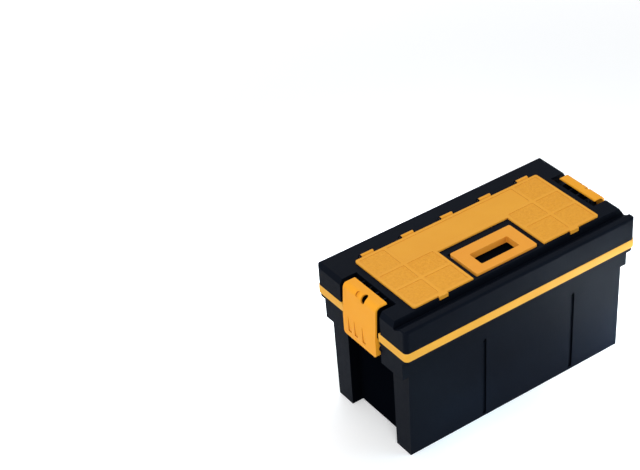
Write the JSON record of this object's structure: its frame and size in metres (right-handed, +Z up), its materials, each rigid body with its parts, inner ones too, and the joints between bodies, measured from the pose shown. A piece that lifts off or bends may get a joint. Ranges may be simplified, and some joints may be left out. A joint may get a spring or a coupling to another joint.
{
  "type": "hard tool case",
  "caption": "Hard plastic tool case with a tub base, lift-off lid held by end latches, built-in organiser, fold-up carry handle and lift-out trays.",
  "frame": {"origin": "centre of the footprint on the surface the case stands on", "axes": "+X along the length towards the right-hand latch, +Y from the front towards the back, +Z up"},
  "size_m": [0.608, 0.302, 0.353],
  "materials": {
    "black_plastic": "fine moulded grain",
    "yellow_plastic": "fine moulded grain",
    "steel": "plain drawn pin"
  },
  "bodies": {
    "base": {"base_tub": "black_plastic", "left_latch_pin": "steel", "right_latch_pin": "steel"},
    "left_latch": {"left_latch": "yellow_plastic"},
    "right_latch": {"right_latch": "yellow_plastic"},
    "lower_tray": {"lower_tray": "black_plastic", "left_divider": "black_plastic", "right_divider": "black_plastic"},
    "tool_tray": {"tool_tray": "yellow_plastic", "tray_handle": "yellow_plastic"},
    "lid": {"lid_shell": "black_plastic", "left_well_tray": "black_plastic", "right_well_tray": "black_plastic", "centre_well_tray": "black_plastic", "handle_cup": "black_plastic", "cover_pins": "steel", "left_handle_pin": "steel", "right_handle_pin": "steel"},
    "organiser_cover": {"organiser_cover": "yellow_plastic"},
    "carry_handle": {"carry_handle": "yellow_plastic"}
  },
  "joints": [
    {"name": "lid_lift", "type": "slide", "parent": "base", "child": "lid", "axis": [0, 0, 1], "range_m": [0, 0.25]},
    {"name": "tool_tray_lift", "type": "slide", "parent": "base", "child": "tool_tray", "axis": [0, 0, 1], "range_m": [0, 0.16]},
    {"name": "lower_tray_lift", "type": "slide", "parent": "base", "child": "lower_tray", "axis": [0, 0, 1], "range_m": [0, 0.095]},
    {"name": "left_latch_turn", "type": "hinge", "parent": "base", "child": "left_latch", "pos_m": [-0.29, 0, 0.246], "axis": [0, -1, 0], "range_deg": [0, 180]},
    {"name": "right_latch_turn", "type": "hinge", "parent": "base", "child": "right_latch", "pos_m": [0.29, 0, 0.246], "axis": [0, 1, 0], "range_deg": [0, 180]},
    {"name": "cover_turn", "type": "hinge", "parent": "lid", "child": "organiser_cover", "pos_m": [0, 0.102, 0.349], "axis": [-1, 0, 0], "range_deg": [0, 105]},
    {"name": "handle_turn", "type": "hinge", "parent": "lid", "child": "carry_handle", "pos_m": [0, -0.017, 0.343], "axis": [-1, 0, 0], "range_deg": [0, 90]}
  ],
  "couplings": [
    {"joint": "tool_tray_lift", "follows": "lid_lift", "ratio": 0.64},
    {"joint": "lower_tray_lift", "follows": "lid_lift", "ratio": 0.38},
    {"joint": "left_latch_turn", "follows": "lid_lift", "rad_per_m": 12.566},
    {"joint": "right_latch_turn", "follows": "lid_lift", "rad_per_m": 12.566}
  ]
}
